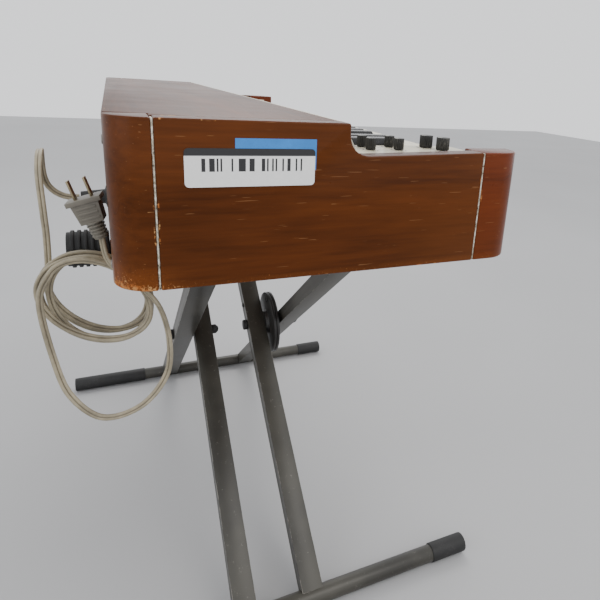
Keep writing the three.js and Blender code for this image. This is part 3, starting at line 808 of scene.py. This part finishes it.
class ORGAN_OT_controls(bpy.types.Operator):
    """Make the control panel, its knobs and the drawbars with their fascia"""

    bl_idname = "organ.controls"
    bl_label = "Controls"

    def execute(self, context):
        for node in ("knob_panel", "treble_block", "drawbar_fascia"):
            softened(node, "panel_cream", 0.4 * MM, "organ")
        for node in sorted(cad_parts):
            if node.startswith("knob_") and node != "knob_panel":
                self.knob(node)
        for number in range(1, 10):
            self.drawbar(f"drawbar_{number}")
        self.legends()
        return {"FINISHED"}

    def knob(self, node):
        """A tapered knob with deep flutes, a chamfered top and a white pointer line."""
        low, high = (Vector(corner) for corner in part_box(node))
        centre = (low + high) / 2
        panel = in_cabinet(0, 0, PANEL_TOP).z
        radius, bottom = (high.x - low.x) / 2, panel + 0.6 * MM
        flutes = 16
        clear_selection()
        bpy.ops.mesh.primitive_cylinder_add(vertices=flutes * 4, radius=radius, depth=high.z - bottom,
                                            location=(centre.x, centre.y, (high.z + bottom) / 2))
        body = bpy.context.object
        settle(body)
        for vertex in body.data.vertices:
            offset = Vector((vertex.co.x - centre.x, vertex.co.y - centre.y, 0))
            angle = math.atan2(offset.y, offset.x)
            step = round(angle / (2 * math.pi) * flutes * 4) % 4
            taper = 0.93 if vertex.co.z > centre.z else 1.0
            vertex.co.x = centre.x + offset.x * taper * (0.87 if step in (0, 1) else 1.0)
            vertex.co.y = centre.y + offset.y * taper * (0.87 if step in (0, 1) else 1.0)
        shaft = rod("shaft", (centre.x, centre.y, low.z), (centre.x, centre.y, bottom + 0.5 * MM), 3 * MM, 20)
        piece = joined(node + "_cap", body, shaft)
        round_edges(piece, 0.25 * MM, 2, 40)
        dress(piece, "knob_plastic", node, 30)
        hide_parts(node)
        pointer = block(node + "_pointer", (centre.x - 0.45 * MM, centre.y + radius * 0.15, high.z - 0.3 * MM),
                        (centre.x + 0.45 * MM, centre.y + radius * 0.8, high.z + 0.12 * MM))
        round_edges(pointer, 0.1 * MM, 1)
        dress(pointer, "pointer_white", node)

    def legends(self):
        """Plain ticks round each knob, with nothing to read."""
        top = in_cabinet(0, 0, PANEL_TOP).z
        ticks = []
        for node in sorted(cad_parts):
            if not node.startswith("knob_") or node == "knob_panel":
                continue
            low, high = (Vector(corner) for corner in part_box(node))
            centre, radius = (low + high) / 2, (high.x - low.x) / 2
            for i in range(7):
                angle = math.radians(-45 + i * 45)
                out = Vector((math.cos(angle), math.sin(angle), 0))
                tick = block("tick", (-0.25 * MM, -0.9 * MM, 0), (0.25 * MM, 0.9 * MM, 0.15 * MM))
                tick.data.transform(Matrix.Translation(Vector((centre.x, centre.y, top)) + out * (radius + 2.0 * MM))
                                    @ Matrix.Rotation(angle - math.pi / 2, 4, "Z"))
                ticks.append(tick)
        piece = joined("panel_ticks", *ticks)
        dress(piece, "rubber_black", "organ")

    def drawbar(self, node):
        """A drawbar's tip gets a scooped finger grip, and a plain stem stands in for its rod."""
        low, high = (Vector(corner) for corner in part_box(node))
        finish = "ebony_plastic" if node[-1] in DARK_DRAWBARS else "ivory_plastic"
        head_rear = low.y + 18 * MM
        tip = block(node + "_tip", (low.x, low.y, low.z), (high.x, head_rear, high.z))
        pick(tip)
        bpy.ops.object.mode_set(mode="EDIT")
        bpy.ops.mesh.select_all(action="SELECT")
        bpy.ops.mesh.subdivide(number_cuts=5)
        bpy.ops.object.mode_set(mode="OBJECT")
        middle = (low.y + head_rear) / 2
        for vertex in tip.data.vertices:
            if vertex.co.z > high.z - 0.1 * MM:
                along = (vertex.co.y - middle) / (head_rear - low.y) * 2
                vertex.co.z -= 3.2 * MM * (1 - along * along)
        round_edges(tip, 0.9 * MM, 3, 40)
        stem = block(node + "_stem", ((low.x + high.x) / 2 - 3.5 * MM, head_rear - 0.8 * MM, low.z + 0.5 * MM),
                     ((low.x + high.x) / 2 + 3.5 * MM, high.y, low.z + 5.5 * MM))
        round_edges(stem, 0.4 * MM)
        dress(tip, finish, node)
        dress(stem, "ivory_plastic", node)
        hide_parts(node)


# ---- Keyboard and insides


class ORGAN_OT_keyboard(bpy.types.Operator):
    """Make the natural and sharp keys"""

    bl_idname = "organ.keyboard"
    bl_label = "Keyboard"

    def execute(self, context):
        edge = settings("organ_keyboard").key_edge
        for octave in range(1, 6):
            softened(f"naturals_octave_{octave}", "ivory_plastic", edge * 0.6, f"naturals_octave_{octave}", 2)
            softened(f"sharps_octave_{octave}", "ebony_plastic", edge * 1.4, f"sharps_octave_{octave}", 3)
        return {"FINISHED"}


class ORGAN_OT_insides(bpy.types.Operator):
    """Finish the key frame, the circuit board and the transformer inside the cabinet"""

    bl_idname = "organ.insides"
    bl_label = "Insides"

    def execute(self, context):
        for node, look, edge, slot in (("key_frame", "zinc_plate", 0.4, "zinc"),
                                       ("tone_circuit_board", "circuit_laminate", 0.3, "board"),
                                       ("mains_transformer", "transformer_iron", 1.0, "iron")):
            softened(node, look, edge * MM, "organ")
        return {"FINISHED"}


# ---- Stand


class ORGAN_OT_stand(bpy.types.Operator):
    """Make the folding stand: its legs, tubes, sleeves, clutch and bolts"""

    bl_idname = "organ.stand"
    bl_label = "Stand"

    BODY = {"far_foot": "far_foot", "near_foot": "inner_frame", "near_arm": "outer_frame", "far_arm": "inner_frame",
            "near_arm_cap": "outer_frame"}

    def execute(self, context):
        corner = settings("organ_stand").leg_edge
        for leg in ("outer_leg_rear", "outer_leg_front", "inner_leg_rear", "inner_leg_front"):
            softened(leg, "painted_steel", corner, leg.split("_")[0] + "_frame", 3)
        for tube in ("far_foot", "near_foot", "near_arm", "far_arm"):
            self.tube(tube)
        self.cap("near_arm_cap")
        softened("far_arm_cap", "rubber_black", 0.6 * MM, "inner_frame", 3)
        for disc, body in (("clutch_disc_outer", "outer_frame"), ("clutch_disc_inner", "inner_frame")):
            softened(disc, "black_steel", 0.8 * MM, body, 3)
        self.rivets()
        for bolt in ("pivot_bolt_rear", "pivot_bolt_front"):
            softened(bolt, "rubber_black", 1.0 * MM, "outer_frame", 3)
        return {"FINISHED"}

    def tube(self, node):
        """A painted tube with a rubber sleeve pushed on each end."""
        low, high = (Vector(corner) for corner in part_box(node))
        axis = Vector(((low.x + high.x) / 2, 0, (low.z + high.z) / 2))
        body = self.BODY[node]
        front, rear = FOOT_SLEEVES if node.endswith("foot") else ARM_SLEEVES
        place = lambda y: axis + Vector((0, y, 0))
        bare = rod(node + "_tube", place(low.y + front - TUBE_INSIDE_SLEEVE),
                   place(high.y - rear + TUBE_INSIDE_SLEEVE), TUBE_RADIUS, 48)
        round_edges(bare, 0.5 * MM)
        dress(bare, "painted_steel", body)
        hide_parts(node)
        for name, start, end in (("front", low.y, low.y + front), ("rear", high.y - rear, high.y)):
            sleeve = rod(f"{node}_sleeve_{name}", place(start), place(end), SLEEVE_RADIUS, 48)
            round_edges(sleeve, 1.6 * MM, 3)
            dress(sleeve, "rubber_black", body)

    def rivets(self):
        """Domed rivets hold the clutch disc, and one goes through the leg above the pivot."""
        pivot = Vector(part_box("clutch_disc_inner")[0]).lerp(Vector(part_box("clutch_disc_inner")[1]), 0.5)
        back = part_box("clutch_disc_inner")[0][1] + DISC_THICKNESS
        leg_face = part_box("inner_leg_front")[1][1]
        for number, (x, z, face) in enumerate(
                ((0, DISC_RIVET, back), (0, -DISC_RIVET, back), (*LEG_RIVET, leg_face))):
            start = Vector((pivot.x + x * MM, face - 0.3 * MM, pivot.z + z * MM))
            head = rod(f"rivet_{number + 1}", start, start + Vector((0, 2.4 * MM, 0)), 4 * MM, 20)
            round_edges(head, 1.2 * MM, 3)
            dress(head, "black_steel", "inner_frame")

    def cap(self, node):
        """A ribbed rubber cap."""
        low, high = (Vector(corner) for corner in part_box(node))
        axis = Vector(((low.x + high.x) / 2, 0, (low.z + high.z) / 2))
        radius = (high.x - low.x) / 2
        place = lambda y: axis + Vector((0, y, 0))
        parts = [rod("core", place(low.y), place(high.y), radius - 1.6 * MM, 40)]
        ribs = 6
        pitch = (high.y - low.y - 2 * MM) / ribs
        for i in range(ribs):
            start = low.y + 1 * MM + i * pitch
            parts.append(rod("rib", place(start), place(start + pitch * 0.55), radius, 40))
        piece = joined(node + "_ribbed", *parts)
        round_edges(piece, 0.5 * MM)
        dress(piece, "rubber_black", self.BODY[node])
        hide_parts(node)


# ---- The panel, and the script itself


OPERATORS = (ORGAN_OT_stage, ORGAN_OT_lead, ORGAN_OT_cabinet, ORGAN_OT_controls, ORGAN_OT_keyboard,
             ORGAN_OT_insides, ORGAN_OT_stand)


class ORGAN_PT_pieces(bpy.types.Panel):
    """Lists the organ's pieces and their settings"""

    bl_idname = "ORGAN_PT_pieces"
    bl_label = "Portable Drawbar Organ"
    bl_space_type = "VIEW_3D"
    bl_region_type = "UI"
    bl_category = "Organ"

    def draw(self, context):
        for operator in OPERATORS:
            self.layout.operator(operator.bl_idname)
        for name, group in SETTINGS.items():
            box = self.layout.box()
            box.label(text=group.__name__)
            for prop in group.__annotations__:
                box.prop(getattr(context.scene, name), prop)


CLASSES = (*SETTINGS.values(), *OPERATORS, ORGAN_PT_pieces)


def register():
    for one in CLASSES:
        bpy.utils.register_class(one)
    for name, group in SETTINGS.items():
        setattr(bpy.types.Scene, name, bpy.props.PointerProperty(type=group))


def unregister():
    for name in SETTINGS:
        delattr(bpy.types.Scene, name)
    for one in reversed(CLASSES):
        bpy.utils.unregister_class(one)


def main():
    register()
    for operator in OPERATORS:
        group, name = operator.bl_idname.split(".")
        getattr(getattr(bpy.ops, group), name)()


if __name__ == "__main__":
    main()
